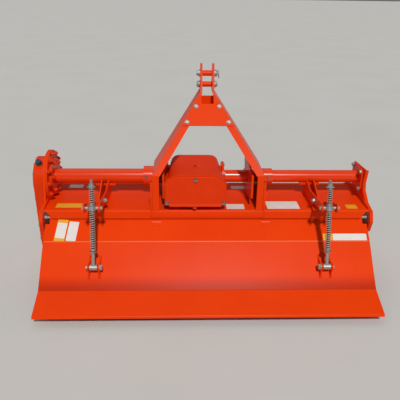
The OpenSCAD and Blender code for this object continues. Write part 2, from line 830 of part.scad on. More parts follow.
module spring_top_right() color(zinc) coil(rod_x_r, top_coil[0], top_coil[1]);

// Collar that swings in the bracket while its rod slides through
module collar(x) {
  on_rod(x) difference() {
    union() {
      translate([0, 0, rod_l0 - collar_h / 2]) cylinder(r = collar_r, h = collar_h);
      rod_x(-fork_x - fork_t, 0, rod_l0, pin_r + 1, 2 * (fork_x + fork_t));
    }
    translate([0, 0, rod_l0 - collar_h]) cylinder(r = rod_r + drift, h = 2 * collar_h);
  }
}

module trunnion_left() color(zinc) collar(rod_x_l);

module trunnion_right() color(zinc) collar(rod_x_r);

place() hood();
place() plate_left();
place() plate_right();
place() skid_left();
place() skid_right();
place() gear_case();
place() case_flange();
place() tube_left();
place() tube_right();
place() end_flange();
place() gearbox();
place() gearbox_cover();
place() cover_bolts();
place() mast_left();
place() mast_right();
place() cross_plate();
place() cross_bolts();
place() front_tie();
place() top_pins();
place() top_spacers();
place() pin_left();
place() pin_right();
place() hitch_left();
place() hitch_right();
place() saddle_left();
place() saddle_right();
place() bracket_left();
place() bracket_right();
place() bearing_left();
place() bearing_right();
place() plugs();
place() hinge_bolts();
place() rotor_tube();
place() tines();
place() input_shaft();
place() board();
place() clevis_left();
place() clevis_right();
place() rod_left();
place() spring_left();
place() rod_right();
place() spring_right();
place() trunnion_left();
place() spring_top_left();
place() trunnion_right();
place() spring_top_right();
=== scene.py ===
import bpy
import json
import math
from mathutils import Matrix, Vector


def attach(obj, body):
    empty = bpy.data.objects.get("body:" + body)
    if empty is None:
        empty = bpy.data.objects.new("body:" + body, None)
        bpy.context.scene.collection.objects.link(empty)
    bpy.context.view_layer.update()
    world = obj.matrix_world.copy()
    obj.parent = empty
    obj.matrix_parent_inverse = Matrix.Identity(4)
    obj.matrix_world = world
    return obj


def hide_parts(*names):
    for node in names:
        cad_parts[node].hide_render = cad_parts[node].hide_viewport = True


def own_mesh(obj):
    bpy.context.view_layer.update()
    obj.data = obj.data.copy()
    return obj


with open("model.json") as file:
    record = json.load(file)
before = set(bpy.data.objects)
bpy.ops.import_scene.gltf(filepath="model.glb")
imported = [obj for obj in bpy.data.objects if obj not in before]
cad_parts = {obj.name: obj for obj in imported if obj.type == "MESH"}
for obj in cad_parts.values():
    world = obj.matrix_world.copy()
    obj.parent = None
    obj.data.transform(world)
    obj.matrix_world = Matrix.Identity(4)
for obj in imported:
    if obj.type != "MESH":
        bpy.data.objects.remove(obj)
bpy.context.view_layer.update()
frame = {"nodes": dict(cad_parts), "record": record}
nodes = frame["nodes"]
record = frame["record"]
bodyOf = {n: b for b, members in record["behaviour"]["bodies"].items() for n in members}
slotOf = {part["node"]: part["material_slot"] for part in record["subparts"]}
print("frame loaded:", len(nodes), "nodes")

# values that several pieces share, in the drawing's own axes
machineMid = {"xMm": -31.5, "yMm": -117.25}   # middle of the tiller on the ground
tubeAxis = {"yMm": 50, "zMm": 585}
rotorAxis = {"yMm": 40, "zMm": 215}
boardLook = {"hingeY": -180, "hingeZ": 412, "bendY": -297, "bendZ": 313, "foldY": -491, "foldZ": 111,
             "halfThickMm": 2.5}
left, right, rear, front = (-1, 0, 0), (1, 0, 0), (0, -1, 0), (0, 1, 0)

# directions down the tail board's upper and main panels, and out of their faces
upperDir = Vector((0.0, boardLook["bendY"] - boardLook["hingeY"], boardLook["bendZ"] - boardLook["hingeZ"]))
upperDir.normalize()
upperOut = Vector((0.0, upperDir.z, -upperDir.y))
panelDir = Vector((0.0, boardLook["foldY"] - boardLook["bendY"], boardLook["foldZ"] - boardLook["bendZ"]))
panelDir.normalize()
panelOut = Vector((0.0, panelDir.z, -panelDir.y))


def mm(value):
    return value / 1000.0


def spot(x, y, z):
    return Vector((mm(x - machineMid["xMm"]), mm(y - machineMid["yMm"]), mm(z)))


def deselectAll():
    for item in list(bpy.context.selected_objects):
        item.select_set(False)


def makeActive(piece):
    deselectAll()
    piece.select_set(True)
    bpy.context.view_layer.objects.active = piece


def settle(piece):
    makeActive(piece)
    bpy.ops.object.transform_apply(location=True, rotation=True, scale=True)


def applyModifier(piece, kind, settings):
    makeActive(piece)
    step = piece.modifiers.new(kind.lower(), kind)
    for name, value in settings.items():
        setattr(step, name, value)
    bpy.ops.object.modifier_apply(modifier=step.name)


def roundEdges(piece, widthMm, segments, sharpDeg=30):
    applyModifier(piece, "BEVEL", {"width": mm(widthMm), "segments": segments, "limit_method": "ANGLE",
                                   "angle_limit": math.radians(sharpDeg)})


def joined(pieces, name):
    makeActive(pieces[0])
    for piece in pieces:
        piece.select_set(True)
    bpy.ops.object.join()
    whole = bpy.context.active_object
    whole.name = name
    settle(whole)
    return whole


def closeUp(piece, mergeMm):
    makeActive(piece)
    bpy.ops.object.mode_set(mode="EDIT")
    bpy.ops.mesh.select_all(action="SELECT")
    bpy.ops.mesh.remove_doubles(threshold=mm(mergeMm))
    bpy.ops.mesh.fill_holes(sides=0)
    bpy.ops.mesh.select_all(action="SELECT")
    bpy.ops.mesh.normals_make_consistent(inside=False)
    bpy.ops.object.mode_set(mode="OBJECT")


def dress(piece, material, body, smoothDeg=35, replaced=()):
    makeActive(piece)
    bpy.ops.object.shade_smooth_by_angle(angle=math.radians(smoothDeg))
    piece.data.materials.clear()
    piece.data.materials.append(material)
    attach(piece, body)
    if replaced:
        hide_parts(*replaced)
    return piece


def linearFromHex(code):
    parts = [int(code[i:i + 2], 16) / 255.0 for i in (1, 3, 5)]
    return tuple(c / 12.92 if c <= 0.04045 else ((c + 0.055) / 1.055) ** 2.4 for c in parts) + (1.0,)


def addNode(tree, kind, settings={}, links={}):
    node = tree.nodes.new(kind)
    for name, value in settings.items():
        if isinstance(name, int) or name in node.inputs:
            node.inputs[name].default_value = value
        else:
            setattr(node, name, value)
    for name, socket in links.items():
        tree.links.new(socket, node.inputs[name])
    return node


def startMaterial(name):
    material = bpy.data.materials.new(name)
    material.use_nodes = True
    material.node_tree.nodes.clear()
    return material, material.node_tree


# paint on steel: even gloss, slight drift of shade, and the ripple of what lies under it
coatLook = {"bright": "#F04408", "deep": "#E63A04", "driftMm": 260, "rippleMm": 7, "rippleDepth": 0.08,
            "fine": 1.0, "roughFrom": 0.27, "roughTo": 0.33, "coat": 0.0, "coatRough": 0.2, "specular": 0.07}
castLook = {"bright": "#E93E06", "deep": "#DA3203", "driftMm": 120, "rippleMm": 6, "rippleDepth": 0.25,
            "fine": 4.0, "roughFrom": 0.26, "roughTo": 0.36, "coat": 0.0, "coatRough": 0.2, "specular": 0.12}
# lighter paint as a painted highlight, for the board's crease and the slot lips
highlightPaintLook = {"bright": "#FF7440", "deep": "#F4602C", "driftMm": 90, "rippleMm": 7, "rippleDepth": 0.08,
            "fine": 2.0, "roughFrom": 0.34, "roughTo": 0.5, "coat": 0.04, "coatRough": 0.3, "specular": 0.3}
glossLook = {"bright": "#EA4006", "deep": "#DE3603", "driftMm": 260, "rippleMm": 7, "rippleDepth": 0.05,
             "fine": 1.0, "roughFrom": 0.2, "roughTo": 0.26, "coat": 0.0, "coatRough": 0.2, "specular": 0.4}
paintLook = {"ior": 1.5, "driftDetail": 3.0, "rippleHighMm": 0.5}


def paintMaterial(name, look):
    material, tree = startMaterial(name)
    coords = addNode(tree, "ShaderNodeTexCoord")
    drift = addNode(tree, "ShaderNodeTexNoise",
                    {"Scale": 1000 / look["driftMm"], "Detail": paintLook["driftDetail"]},
                    {"Vector": coords.outputs["Object"]})
    shade = addNode(tree, "ShaderNodeMix", {"data_type": "RGBA", 6: linearFromHex(look["deep"]),
                                            7: linearFromHex(look["bright"])}, {0: drift.outputs["Fac"]})
    gloss = addNode(tree, "ShaderNodeMapRange", {"To Min": look["roughFrom"], "To Max": look["roughTo"]},
                    {"Value": drift.outputs["Fac"]})
    grain = addNode(tree, "ShaderNodeTexNoise", {"Scale": 1000 / look["rippleMm"], "Detail": look["fine"]},
                    {"Vector": coords.outputs["Object"]})   # coarser than the real 2 mm so that it shows
    ripple = addNode(tree, "ShaderNodeBump",
                     {"Strength": look["rippleDepth"], "Distance": mm(paintLook["rippleHighMm"])},
                     {"Height": grain.outputs["Fac"]})
    surface = addNode(tree, "ShaderNodeBsdfPrincipled",
                      {"Coat Weight": look["coat"], "Coat Roughness": look["coatRough"],
                       "IOR": paintLook["ior"], "Specular IOR Level": look["specular"]},
                      {"Base Color": shade.outputs[2], "Roughness": gloss.outputs["Result"],
                       "Normal": ripple.outputs["Normal"]})
    addNode(tree, "ShaderNodeOutputMaterial", {}, {"Surface": surface.outputs["BSDF"]})
    return material


powderCoat = paintMaterial("powderCoatedSteel", coatLook)
paintedIron = paintMaterial("paintedCastIron", castLook)
paintedHighlightCoat = paintMaterial("paintedHighlightCoat", highlightPaintLook)
glossCoat = paintMaterial("glossPowderCoat", glossLook)

# the tail board's paint with painted shade: darker along the foot of its main panel, just above the fold
footShadeLook = {"dark": "#BE2A02", "reachMm": 95, "edgeMm": 1}
boardCoat = paintMaterial("boardPowderCoatPaintedShade", coatLook)
tree = boardCoat.node_tree
surface = next(node for node in tree.nodes if node.type == "BSDF_PRINCIPLED")
plain = surface.inputs["Base Color"].links[0].from_socket
coords = addNode(tree, "ShaderNodeTexCoord")
fromFold = addNode(tree, "ShaderNodeVectorMath",
                   {"operation": "SUBTRACT", 1: tuple(spot(0, boardLook["foldY"], boardLook["foldZ"]))},
                   {0: coords.outputs["Object"]})
height = addNode(tree, "ShaderNodeVectorMath", {"operation": "DOT_PRODUCT", 1: tuple(-panelDir)},
                 {0: fromFold.outputs["Vector"]})
# painted shade: the colour darkens towards the fold over the last reachMm of the main panel
fade = addNode(tree, "ShaderNodeMapRange",
               {"interpolation_type": "SMOOTHSTEP", "From Max": mm(footShadeLook["reachMm"]),
                "To Min": 1.0, "To Max": 0.0}, {"Value": height.outputs["Value"]})
edge = addNode(tree, "ShaderNodeMapRange", {"From Min": -mm(footShadeLook["edgeMm"]), "From Max": 0.0},
               {"Value": height.outputs["Value"]})
paintedShadeBand = addNode(tree, "ShaderNodeMath", {"operation": "MULTIPLY"},
               {0: fade.outputs["Result"], 1: edge.outputs["Result"]})
shade = addNode(tree, "ShaderNodeMix", {"data_type": "RGBA", 7: linearFromHex(footShadeLook["dark"])},
                {0: paintedShadeBand.outputs["Value"], 6: plain})
tree.links.new(shade.outputs[2], surface.inputs["Base Color"])

# bright zinc on steel: grey metal with cloudy crystal patches
zincLook = {"light": "#B6B4AD", "dull": "#918F88", "patchMm": 14, "roughFrom": 0.4, "roughTo": 0.56,
            "metallic": 0.5}
zincSteel, tree = startMaterial("zincPlatedSteel")
coords = addNode(tree, "ShaderNodeTexCoord")
patch = addNode(tree, "ShaderNodeTexNoise", {"Scale": 1000 / zincLook["patchMm"], "Detail": 4.0},
                {"Vector": coords.outputs["Object"]})
shade = addNode(tree, "ShaderNodeMix", {"data_type": "RGBA", 6: linearFromHex(zincLook["dull"]),
                                        7: linearFromHex(zincLook["light"])}, {0: patch.outputs["Fac"]})
gloss = addNode(tree, "ShaderNodeMapRange", {"To Min": zincLook["roughTo"], "To Max": zincLook["roughFrom"]},
                {"Value": patch.outputs["Fac"]})
surface = addNode(tree, "ShaderNodeBsdfPrincipled", {"Metallic": zincLook["metallic"]},
                  {"Base Color": shade.outputs[2], "Roughness": gloss.outputs["Result"]})
addNode(tree, "ShaderNodeOutputMaterial", {}, {"Surface": surface.outputs["BSDF"]})

# drawn spring wire: pale plated steel with fine streaks
wireLook = {"light": "#CECBC1", "dull": "#9A978D", "streakMm": 9, "roughness": 0.4, "metallic": 0.5}
springWire, tree = startMaterial("drawnSpringSteel")
coords = addNode(tree, "ShaderNodeTexCoord")
streak = addNode(tree, "ShaderNodeTexNoise", {"Scale": 1000 / wireLook["streakMm"], "Detail": 5.0},
                 {"Vector": coords.outputs["Object"]})
shade = addNode(tree, "ShaderNodeMix", {"data_type": "RGBA", 6: linearFromHex(wireLook["dull"]),
                                        7: linearFromHex(wireLook["light"])}, {0: streak.outputs["Fac"]})
surface = addNode(tree, "ShaderNodeBsdfPrincipled",
                  {"Metallic": wireLook["metallic"], "Roughness": wireLook["roughness"]},
                  {"Base Color": shade.outputs[2]})
addNode(tree, "ShaderNodeOutputMaterial", {}, {"Surface": surface.outputs["BSDF"]})

# spring rods: values from the drawing, along the rod from its eye
rodLook = {"leftX": -637, "rightX": 660, "eyeY": -440.006, "eyeZ": 229.06, "leanDeg": 14.835,
           "stopTop": 93, "collar": 332, "collarHalf": 13, "nutAt": 446}
rodLean = math.radians(rodLook["leanDeg"])
rodUp = Vector((0.0, math.sin(rodLean), math.cos(rodLean)))
sides = {"left": (rodLook["leftX"], "rod_l", "trunnion_l"),
         "right": (rodLook["rightX"], "rod_r", "trunnion_r")}


def onRod(x, alongMm):
    return spot(x, rodLook["eyeY"], rodLook["eyeZ"]) + rodUp * mm(alongMm)


# spring rod: plated, with painted shade on the stretch inside the coils
slideLook = {"plated": "#B0AEA7", "coilShade": "#33302C", "fromMm": 96, "toMm": 443, "fadeMm": 6, "patchMm": 20,
             "roughFrom": 0.34, "roughTo": 0.6, "metallic": 0.7}
slidRod, tree = startMaterial("rodSteelPaintedCoilShade")
coords = addNode(tree, "ShaderNodeTexCoord")
slideMiddle = onRod(0, (slideLook["fromMm"] + slideLook["toMm"]) / 2)
fromMiddle = addNode(tree, "ShaderNodeVectorMath", {"operation": "SUBTRACT", 1: tuple(slideMiddle)},
                     {0: coords.outputs["Object"]})
along = addNode(tree, "ShaderNodeVectorMath", {"operation": "DOT_PRODUCT", 1: tuple(rodUp)},
                {0: fromMiddle.outputs["Vector"]})
away = addNode(tree, "ShaderNodeMath", {"operation": "ABSOLUTE"}, {0: along.outputs["Value"]})
halfReach = mm((slideLook["toMm"] - slideLook["fromMm"]) / 2)
# painted shade: dark on the stretch that the coils cover, fading out at its ends
film = addNode(tree, "ShaderNodeMapRange",
               {"From Min": halfReach, "From Max": halfReach + mm(slideLook["fadeMm"]),
                "To Min": 1.0, "To Max": 0.0}, {"Value": away.outputs["Value"]})
patch = addNode(tree, "ShaderNodeTexNoise", {"Scale": 1000 / slideLook["patchMm"], "Detail": 4.0},
                {"Vector": coords.outputs["Object"]})
shade = addNode(tree, "ShaderNodeMix", {"data_type": "RGBA", 6: linearFromHex(slideLook["plated"]),
                                        7: linearFromHex(slideLook["coilShade"])}, {0: film.outputs["Result"]})
gloss = addNode(tree, "ShaderNodeMapRange",
                {"To Min": slideLook["roughFrom"], "To Max": slideLook["roughTo"]},
                {"Value": patch.outputs["Fac"]})
surface = addNode(tree, "ShaderNodeBsdfPrincipled", {"Metallic": slideLook["metallic"]},
                  {"Base Color": shade.outputs[2], "Roughness": gloss.outputs["Result"]})
addNode(tree, "ShaderNodeOutputMaterial", {}, {"Surface": surface.outputs["BSDF"]})

# turned steel, bare and lightly oiled: fine tool marks and dull patches
turnedLook = {"light": "#B4B1AB", "dull": "#7E7B76", "markMm": 5, "twist": 0.4, "roughness": 0.3}
turnedSteel, tree = startMaterial("turnedBareSteel")
coords = addNode(tree, "ShaderNodeTexCoord")
marks = addNode(tree, "ShaderNodeTexNoise",
                {"Scale": 1000 / turnedLook["markMm"], "Detail": 3.0, "Distortion": turnedLook["twist"]},
                {"Vector": coords.outputs["Object"]})
shade = addNode(tree, "ShaderNodeMix", {"data_type": "RGBA", 6: linearFromHex(turnedLook["dull"]),
                                        7: linearFromHex(turnedLook["light"])}, {0: marks.outputs["Fac"]})
surface = addNode(tree, "ShaderNodeBsdfPrincipled", {"Metallic": 1.0, "Roughness": turnedLook["roughness"]},
                  {"Base Color": shade.outputs[2]})
addNode(tree, "ShaderNodeOutputMaterial", {}, {"Surface": surface.outputs["BSDF"]})

# satin black enamel over rolled steel, scuffed in patches
blackLook = {"face": "#1B1B1D", "worn": "#3A3733", "wearMm": 60, "roughFrom": 0.42, "roughTo": 0.62}
blackEnamel, tree = startMaterial("blackEnamelSteel")
coords = addNode(tree, "ShaderNodeTexCoord")
wear = addNode(tree, "ShaderNodeTexNoise", {"Scale": 1000 / blackLook["wearMm"], "Detail": 6.0},
               {"Vector": coords.outputs["Object"]})
shade = addNode(tree, "ShaderNodeMix", {"data_type": "RGBA", 6: linearFromHex(blackLook["face"]),
                                        7: linearFromHex(blackLook["worn"])}, {0: wear.outputs["Fac"]})
gloss = addNode(tree, "ShaderNodeMapRange",
                {"To Min": blackLook["roughFrom"], "To Max": blackLook["roughTo"]},
                {"Value": wear.outputs["Fac"]})
surface = addNode(tree, "ShaderNodeBsdfPrincipled", {},
                  {"Base Color": shade.outputs[2], "Roughness": gloss.outputs["Result"]})
addNode(tree, "ShaderNodeOutputMaterial", {}, {"Surface": surface.outputs["BSDF"]})

# forged tines: black enamel that gives way to ground steel towards the tips
tineLook = {"enamel": "#202022", "ground": "#8C8881", "wornFromMm": 168, "wornToMm": 202, "patchMm": 18,
            "raggedMm": 50, "enamelRough": 0.5, "groundRough": 0.34}
tineSteel, tree = startMaterial("forgedTineSteel")
coords = addNode(tree, "ShaderNodeTexCoord")
centred = addNode(tree, "ShaderNodeVectorMath",
                  {"operation": "SUBTRACT", 1: tuple(spot(0, rotorAxis["yMm"], rotorAxis["zMm"]))},
                  {0: coords.outputs["Object"]})
flat = addNode(tree, "ShaderNodeVectorMath", {"operation": "MULTIPLY", 1: (0.0, 1.0, 1.0)},
               {0: centred.outputs["Vector"]})
reach = addNode(tree, "ShaderNodeVectorMath", {"operation": "LENGTH"}, {0: flat.outputs["Vector"]})
patch = addNode(tree, "ShaderNodeTexNoise", {"Scale": 1000 / tineLook["patchMm"], "Detail": 5.0},
                {"Vector": coords.outputs["Object"]})
ragged = addNode(tree, "ShaderNodeMath", {"operation": "MULTIPLY_ADD", 1: mm(tineLook["raggedMm"])},
                 {0: patch.outputs["Fac"], 2: reach.outputs["Value"]})
worn = addNode(tree, "ShaderNodeMapRange",
               {"From Min": mm(tineLook["wornFromMm"] + tineLook["raggedMm"] / 2),
                "From Max": mm(tineLook["wornToMm"] + tineLook["raggedMm"] / 2)},
               {"Value": ragged.outputs["Value"]})
shade = addNode(tree, "ShaderNodeMix", {"data_type": "RGBA", 6: linearFromHex(tineLook["enamel"]),
                                        7: linearFromHex(tineLook["ground"])}, {0: worn.outputs["Result"]})
gloss = addNode(tree, "ShaderNodeMapRange",
                {"To Min": tineLook["enamelRough"], "To Max": tineLook["groundRough"]},
                {"Value": worn.outputs["Result"]})
surface = addNode(tree, "ShaderNodeBsdfPrincipled", {},
                  {"Base Color": shade.outputs[2], "Roughness": gloss.outputs["Result"],
                   "Metallic": worn.outputs["Result"]})
addNode(tree, "ShaderNodeOutputMaterial", {}, {"Surface": surface.outputs["BSDF"]})

# moulded plastic plugs: slate grey with a fine spark-eroded grain
plugLook = {"face": "#2B3038", "grain": "#3A414B", "grainMm": 3, "bump": 0.2, "bumpMm": 0.2,
            "roughness": 0.45}
mouldedPlastic, tree = startMaterial("mouldedPlastic")
coords = addNode(tree, "ShaderNodeTexCoord")
grain = addNode(tree, "ShaderNodeTexNoise", {"Scale": 1000 / plugLook["grainMm"], "Detail": 2.0},
                {"Vector": coords.outputs["Object"]})
shade = addNode(tree, "ShaderNodeMix", {"data_type": "RGBA", 6: linearFromHex(plugLook["face"]),
                                        7: linearFromHex(plugLook["grain"])}, {0: grain.outputs["Fac"]})
ripple = addNode(tree, "ShaderNodeBump", {"Strength": plugLook["bump"], "Distance": mm(plugLook["bumpMm"])},
                 {"Height": grain.outputs["Fac"]})
surface = addNode(tree, "ShaderNodeBsdfPrincipled", {"Roughness": plugLook["roughness"], "IOR": 1.49},
                  {"Base Color": shade.outputs[2], "Normal": ripple.outputs["Normal"]})
addNode(tree, "ShaderNodeOutputMaterial", {}, {"Surface": surface.outputs["BSDF"]})

# plain vinyl film: a little cloudy where it has been rubbed down
filmLook = {"white": ("#EEEBE4", "#DCD8D0"), "yellow": ("#F2B431", "#E3A21F"), "smearMm": 40,
            "roughness": 0.3}
vinylFilm = {}
for tone in ("white", "yellow"):
    vinylFilm[tone], tree = startMaterial(tone + "VinylFilm")
    coords = addNode(tree, "ShaderNodeTexCoord")
    smear = addNode(tree, "ShaderNodeTexNoise", {"Scale": 1000 / filmLook["smearMm"], "Detail": 3.0},
                    {"Vector": coords.outputs["Object"]})
    shade = addNode(tree, "ShaderNodeMix", {"data_type": "RGBA", 6: linearFromHex(filmLook[tone][1]),
                                            7: linearFromHex(filmLook[tone][0])}, {0: smear.outputs["Fac"]})
    surface = addNode(tree, "ShaderNodeBsdfPrincipled", {"Roughness": filmLook["roughness"], "IOR": 1.53},
                      {"Base Color": shade.outputs[2]})
    addNode(tree, "ShaderNodeOutputMaterial", {}, {"Surface": surface.outputs["BSDF"]})
print("materials made")

# solids from the drawing, with merged faces, rounded edges and their finish
finishOf = {"orange_paint": powderCoat, "zinc_steel": zincSteel, "bare_steel": turnedSteel,
            "black_paint": blackEnamel, "dark_plastic": mouldedPlastic}
ownFinish = {"tines": tineSteel, "board": boardCoat, "rod_left": slidRod, "rod_right": slidRod}
ownFinish.update(dict.fromkeys(("gearbox", "gearbox_cover", "gear_case", "case_flange", "end_flange",
                                "bearing_left", "bearing_right"), paintedIron))
ownFinish.update(dict.fromkeys(("tube_left", "tube_right", "saddle_left", "saddle_right"), glossCoat))
edgeLook = {"plainMm": 1.0, "segments": 2, "sharpDeg": 35, "mergeMm": 0.01, "flatDeg": 0.5}
edgeMm = {"gearbox": 4.0, "gearbox_cover": 3.0, "gear_case": 4.0, "case_flange": 2.0, "mast_left": 1.6,
          "mast_right": 1.6, "skid_left": 2.0, "skid_right": 2.0, "plugs": 2.0}
remade = ["spring_left", "spring_right", "spring_top_left", "spring_top_right", "cover_bolts", "cross_bolts"]


def softEdged(nodeName, widthMm):
    source = nodes[nodeName]
    piece = source.copy()
    piece.data = source.data.copy()
    piece.name = nodeName + "_dressed"
    for key in list(piece.keys()):
        del piece[key]
    piece.parent = None
    bpy.context.scene.collection.objects.link(piece)
    makeActive(piece)
    bpy.ops.object.mode_set(mode="EDIT")
    bpy.ops.mesh.select_all(action="SELECT")
    bpy.ops.mesh.remove_doubles(threshold=mm(edgeLook["mergeMm"]))
    bpy.ops.mesh.dissolve_limited(angle_limit=math.radians(edgeLook["flatDeg"]))
    bpy.ops.object.mode_set(mode="OBJECT")
    roundEdges(piece, widthMm, edgeLook["segments"], edgeLook["sharpDeg"])
    finish = ownFinish.get(nodeName, finishOf[slotOf[nodeName]])
    dress(piece, finish, bodyOf[nodeName], replaced=[nodeName])
    applyModifier(piece, "WEIGHTED_NORMAL", {"weight": 100, "keep_sharp": True})   # large faces stay flat
    return piece


for nodeName in nodes:
    if nodeName not in remade:
        softEdged(nodeName, edgeMm.get(nodeName, edgeLook["plainMm"]))
print("solids dressed")

# hex bolt and nut, each modelled once: washer, chamfered hexagon and the stud's end
hexLook = {"flatsMm": 19, "headMm": 8, "chamfer": 0.47, "coneSpread": 1.8, "washerMm": 12.5,
           "washerThickMm": 2.5, "washerEdge": 0.5, "studMm": 6, "studOutMm": 5, "studEdge": 1.2,
           "turnStepDeg": 37.0, "smoothDeg": 30}


def hexModel(name, withStud):
    top = hexLook["washerThickMm"] + hexLook["headMm"]
    middle = (0, 0, mm(top - hexLook["headMm"] / 2))
    deselectAll()
    bpy.ops.mesh.primitive_cylinder_add(vertices=6, radius=mm(hexLook["flatsMm"] / math.sqrt(3)),
                                        depth=mm(hexLook["headMm"]), location=middle)
    head = bpy.context.active_object
    inner = mm(hexLook["flatsMm"] * hexLook["chamfer"])
    bpy.ops.mesh.primitive_cone_add(vertices=24, radius2=inner, depth=mm(hexLook["headMm"]), location=middle,
                                    radius1=inner + mm(hexLook["headMm"]) * hexLook["coneSpread"])
    cone = bpy.context.active_object
    applyModifier(head, "BOOLEAN", {"operation": "INTERSECT", "object": cone, "solver": "EXACT"})
    bpy.data.objects.remove(cone)
    deselectAll()
    bpy.ops.mesh.primitive_cylinder_add(vertices=24, radius=mm(hexLook["washerMm"]),
                                        depth=mm(hexLook["washerThickMm"]),
                                        location=(0, 0, mm(hexLook["washerThickMm"] / 2)))
    washer = bpy.context.active_object
    roundEdges(washer, hexLook["washerEdge"], 1)
    parts = [head, washer]
    if withStud:
        deselectAll()
        bpy.ops.mesh.primitive_cylinder_add(vertices=16, radius=mm(hexLook["studMm"]),
                                            depth=mm(hexLook["studOutMm"] * 2), location=(0, 0, mm(top)))
        stud = bpy.context.active_object
        roundEdges(stud, hexLook["studEdge"], 1)
        parts.append(stud)
    return joined(parts, name)


def setAt(model, name, place, direction, size=1.0, turnDeg=0.0):
    piece = model.copy()
    piece.data = model.data.copy()
    piece.name = name
    bpy.context.scene.collection.objects.link(piece)
    facing = Vector(direction).to_track_quat("Z", "Y").to_matrix().to_4x4()
    piece.data.transform(Matrix.Translation(place) @ facing @ Matrix.Rotation(math.radians(turnDeg), 4, "Z")
                         @ Matrix.Scale(size, 4))
    return piece


def fastenSet(name, model, places, material=zincSteel, body="frame", replaced=()):
    copies = [setAt(model, name, place, direction, size, hexLook["turnStepDeg"] * i % 60)
              for i, (place, direction, size) in enumerate(places)]
    return dress(joined(copies, name), material, body, hexLook["smoothDeg"], replaced)


def ringAt(x, axis, radiusMm, anglesDeg):
    return [spot(x, axis["yMm"] + radiusMm * math.cos(math.radians(a)),
                 axis["zMm"] + radiusMm * math.sin(math.radians(a))) for a in anglesDeg]


boltModel = hexModel("boltModel", False)
nutModel = hexModel("nutModel", True)

# gearbox: cover screws, bearing cap screws, screws round the input
boxLook = {"xMm": -73, "coverY": -218, "coverAt": ((0, 660), (-162, 519), (162, 519)), "screw": 0.95,
           "capX": 104, "capR": 76, "capScrew": 0.8,
           "noseY": 235, "noseZ": 578, "noseR": 64, "noseScrew": 0.7}
coverScrews = [(spot(boxLook["xMm"] + x, boxLook["coverY"], z), rear, boxLook["screw"])
               for x, z in boxLook["coverAt"]]
fastenSet("cover_screws", boltModel, coverScrews, turnedSteel, replaced=["cover_bolts"])
capScrews = [(p, right, boxLook["capScrew"])
             for p in ringAt(boxLook["capX"], tubeAxis, boxLook["capR"], range(30, 390, 60))]
fastenSet("cap_screws", boltModel, capScrews)
noseScrews = [(spot(boxLook["xMm"] + boxLook["noseR"] * math.cos(a), boxLook["noseY"],
                    boxLook["noseZ"] + boxLook["noseR"] * math.sin(a)), front, boxLook["noseScrew"])
              for a in (math.radians(60 * i + 30) for i in range(6))]
fastenSet("nose_screws", boltModel, noseScrews)

# painted nuts of the tube flanges
flangeLook = {"outerR": 140, "outerX": -932, "outerSize": 1.25, "neckR": 92, "neckX": -916.5, "neckSize": 1.1}
flangeNuts = [(p, right, flangeLook["outerSize"])
              for p in ringAt(flangeLook["outerX"], tubeAxis, flangeLook["outerR"], range(-30, 211, 30))]
flangeNuts += [(p, right, flangeLook["neckSize"])
               for p in ringAt(flangeLook["neckX"], tubeAxis, flangeLook["neckR"], range(45, 346, 60))]
fastenSet("flange_nuts", nutModel, flangeNuts, paintedIron)

# small screws on the tubes' collars
saddleLook = {"at": ((-366, -9.8, 597), (378, 2.2, 590)), "size": 0.75}
saddleScrews = [(spot(*place), rear, saddleLook["size"]) for place in saddleLook["at"]]
fastenSet("saddle_screws", boltModel, saddleScrews, turnedSteel)

# bright screws: right end flange, posts, bracket arms, cross plate
endLook = {"faceX": 934, "offY": 70, "offZ": 54, "size": 1.08}
endScrews = [(spot(endLook["faceX"], tubeAxis["yMm"] + a * endLook["offY"],
                   tubeAxis["zMm"] + b * endLook["offZ"]), left, endLook["size"])
             for a in (-1, 1) for b in (-1, 1)]
fastenSet("end_screws", boltModel, endScrews)
postLook = {"faceX": 318.5, "yMm": -150, "zMm": (588, 556, 498), "size": 1.0}
postNuts = [(spot(s * postLook["faceX"], postLook["yMm"], z), (s, 0, 0), postLook["size"])
            for s in (-1, 1) for z in postLook["zMm"]]
fastenSet("post_nuts", nutModel, postNuts)
armLook = {"leftX": -592, "rightX": 615, "yMm": -215, "zMm": 535, "size": 1.15}
armNuts = [(spot(x, armLook["yMm"], armLook["zMm"]), inward, armLook["size"])
           for x, inward in ((armLook["leftX"], right), (armLook["rightX"], left))]
fastenSet("arm_nuts", nutModel, armNuts)
crossLook = {"shares": (0.633, 0.825), "halfWidth": 318.5, "narrowing": 277, "inset": 22, "liftMm": 7.35,
             "footY": -200, "riseY": 320, "footZ": 676, "riseZ": 404, "normal": (0.0, -0.7839, 0.6209),
             "size": 1.08}
crossNormal = Vector(crossLook["normal"])
crossScrews = []
for s in (-1, 1):
    for f in crossLook["shares"]:
        x = s * (crossLook["halfWidth"] - crossLook["narrowing"] * f - crossLook["inset"])
        foot = spot(x, crossLook["footY"] + crossLook["riseY"] * f,
                    crossLook["footZ"] + crossLook["riseZ"] * f)
        crossScrews.append((foot + crossNormal * mm(crossLook["liftMm"]), crossNormal, crossLook["size"]))
fastenSet("cross_screws", boltModel, crossScrews, replaced=["cross_bolts"])

# pivot nuts of the tail board, nuts of the top-link pins
pivotLook = {"insideX": 946, "outsideX": 956, "size": 1.05}
pivotNuts = [(spot(s * x, boardLook["hingeY"], boardLook["hingeZ"]), (s * outward, 0, 0), pivotLook["size"])
             for x, outward in ((pivotLook["insideX"], -1), (pivotLook["outsideX"], 1)) for s in (-1, 1)]
fastenSet("pivot_nuts", boltModel, pivotNuts)
topLook = {"faceX": 41.5, "yMm": 205, "zMm": (1118, 1183), "size": 1.7}
topNuts = [(spot(s * topLook["faceX"], topLook["yMm"], z), (s, 0, 0), topLook["size"])
           for s in (-1, 1) for z in topLook["zMm"]]
fastenSet("top_nuts", boltModel, topNuts)
print("screws and nuts done")

# coil spring: a closed turn at each end and open turns between, swept by the Screw modifier
coilLook = {"outerMm": 16.2, "wireMm": 2.9, "pitchMm": 12.5, "roundWire": 10, "stepsPerTurn": 26,
            "mergeMm": 0.05, "smoothDeg": 60}


